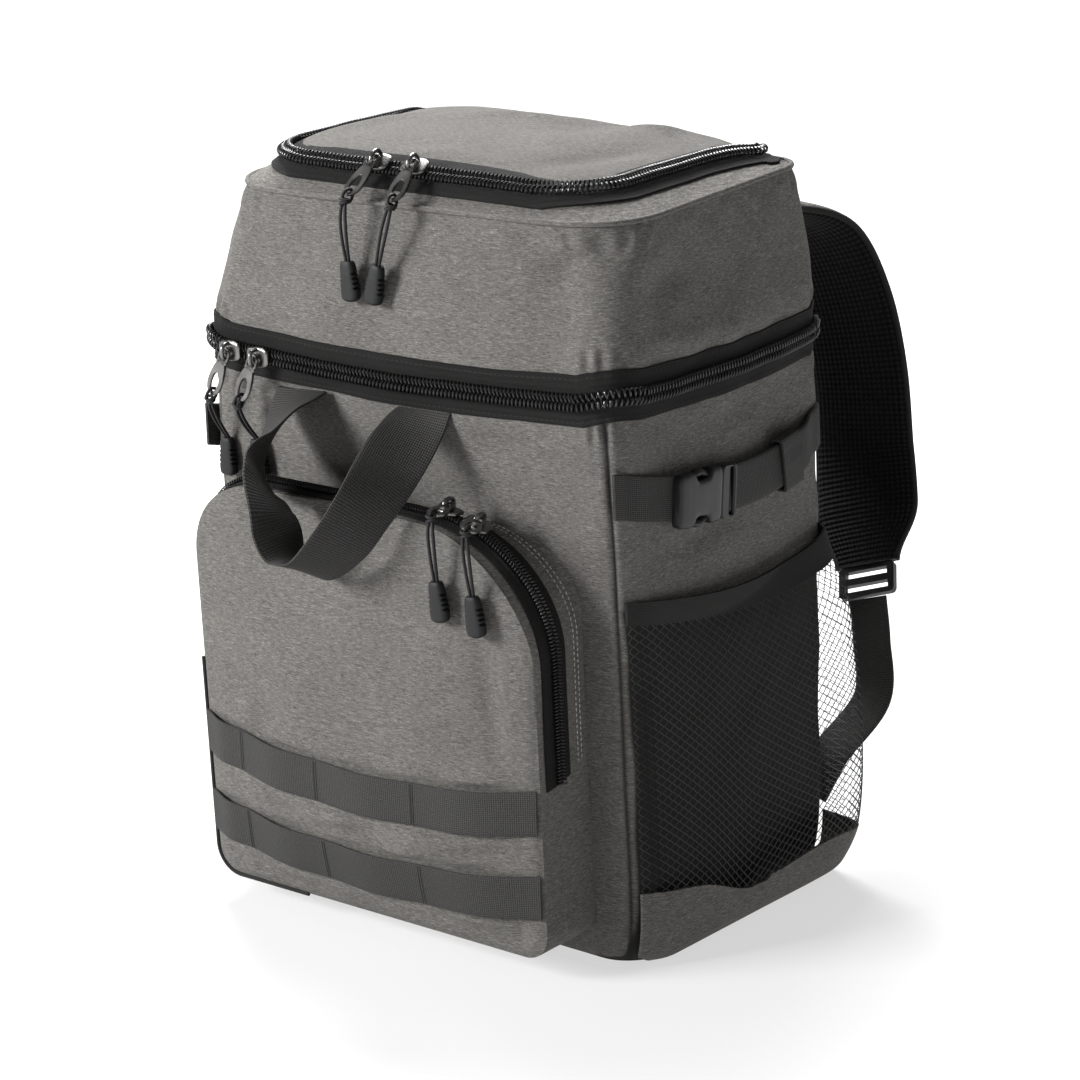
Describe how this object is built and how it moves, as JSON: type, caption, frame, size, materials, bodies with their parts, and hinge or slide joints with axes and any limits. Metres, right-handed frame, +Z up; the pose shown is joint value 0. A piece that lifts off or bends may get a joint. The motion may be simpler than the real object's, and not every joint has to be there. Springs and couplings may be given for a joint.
{
  "type": "cooler backpack",
  "caption": "Boxy insulated backpack with stacked zipped upper and lower compartments, a rounded zipped front pocket, mesh side pockets and padded shoulder straps.",
  "frame": {"origin": "middle of the body's flat base, on the floor", "axes": "+Z up, -Y out of the front pocket, +Y towards the wearer, +X to the bag's right in a view of its front"},
  "size_m": [0.3834, 0.3956, 0.4405],
  "materials": {
    "heather_fabric": "matte heathered grey polyester",
    "webbing": "black ribbed webbing",
    "zip_tape": "black twill tape",
    "zip_coil": "glossy black coil",
    "black_nickel": "polished black nickel",
    "pull_cord": "black braided cord",
    "cord_end_rubber": "matte dark grey rubber",
    "buckle_plastic": "finely grained dark plastic",
    "side_net": "black open mesh",
    "spacer_mesh": "black padded spacer mesh"
  },
  "bodies": {
    "root": {"lower_body": "heather_fabric", "upper_body": "heather_fabric", "lid_panel": "heather_fabric", "back_panel": "spacer_mesh", "front_pocket": "heather_fabric", "middle_zip_tape": "zip_tape", "middle_zip_chain": "zip_coil", "lid_zip_tape": "zip_tape", "lid_zip_chain": "zip_coil", "pocket_zip_tape": "zip_tape", "pocket_zip_chain": "zip_coil", "webbing_row_upper": "webbing", "webbing_row_lower": "webbing", "grab_handle": "webbing", "slider_lid_left": "black_nickel", "slider_lid_right": "black_nickel", "slider_middle_left": "black_nickel", "slider_middle_right": "black_nickel", "slider_pocket_left": "black_nickel", "slider_pocket_right": "black_nickel", "pull_tab_lid_left": "black_nickel", "pull_tab_lid_right": "black_nickel", "pull_tab_middle_left": "black_nickel", "pull_tab_middle_right": "black_nickel", "pull_tab_pocket_left": "black_nickel", "pull_tab_pocket_right": "black_nickel", "pull_cord_lid_left": "pull_cord", "pull_cord_lid_right": "pull_cord", "pull_cord_middle_left": "pull_cord", "pull_cord_middle_right": "pull_cord", "pull_cord_pocket_left": "pull_cord", "pull_cord_pocket_right": "pull_cord", "cord_end_lid_left": "cord_end_rubber", "cord_end_lid_right": "cord_end_rubber", "cord_end_middle_left": "cord_end_rubber", "cord_end_middle_right": "cord_end_rubber", "cord_end_pocket_left": "cord_end_rubber", "cord_end_pocket_right": "cord_end_rubber", "side_band_left": "heather_fabric", "side_band_right": "heather_fabric", "side_net_left": "side_net", "side_net_right": "side_net", "side_hem_left": "webbing", "side_hem_right": "webbing", "side_strap_front_left": "webbing", "side_strap_front_right": "webbing", "side_strap_rear_left": "webbing", "side_strap_rear_right": "webbing", "buckle_socket_left": "buckle_plastic", "buckle_socket_right": "buckle_plastic", "buckle_plug_left": "buckle_plastic", "buckle_plug_right": "buckle_plastic", "keeper_loop_left": "webbing", "keeper_loop_right": "webbing", "shoulder_pad_left": "heather_fabric", "shoulder_pad_right": "heather_fabric", "ladder_lock_left": "buckle_plastic", "ladder_lock_right": "buckle_plastic", "shoulder_webbing_left": "webbing", "shoulder_webbing_right": "webbing"}
  },
  "joints": []
}
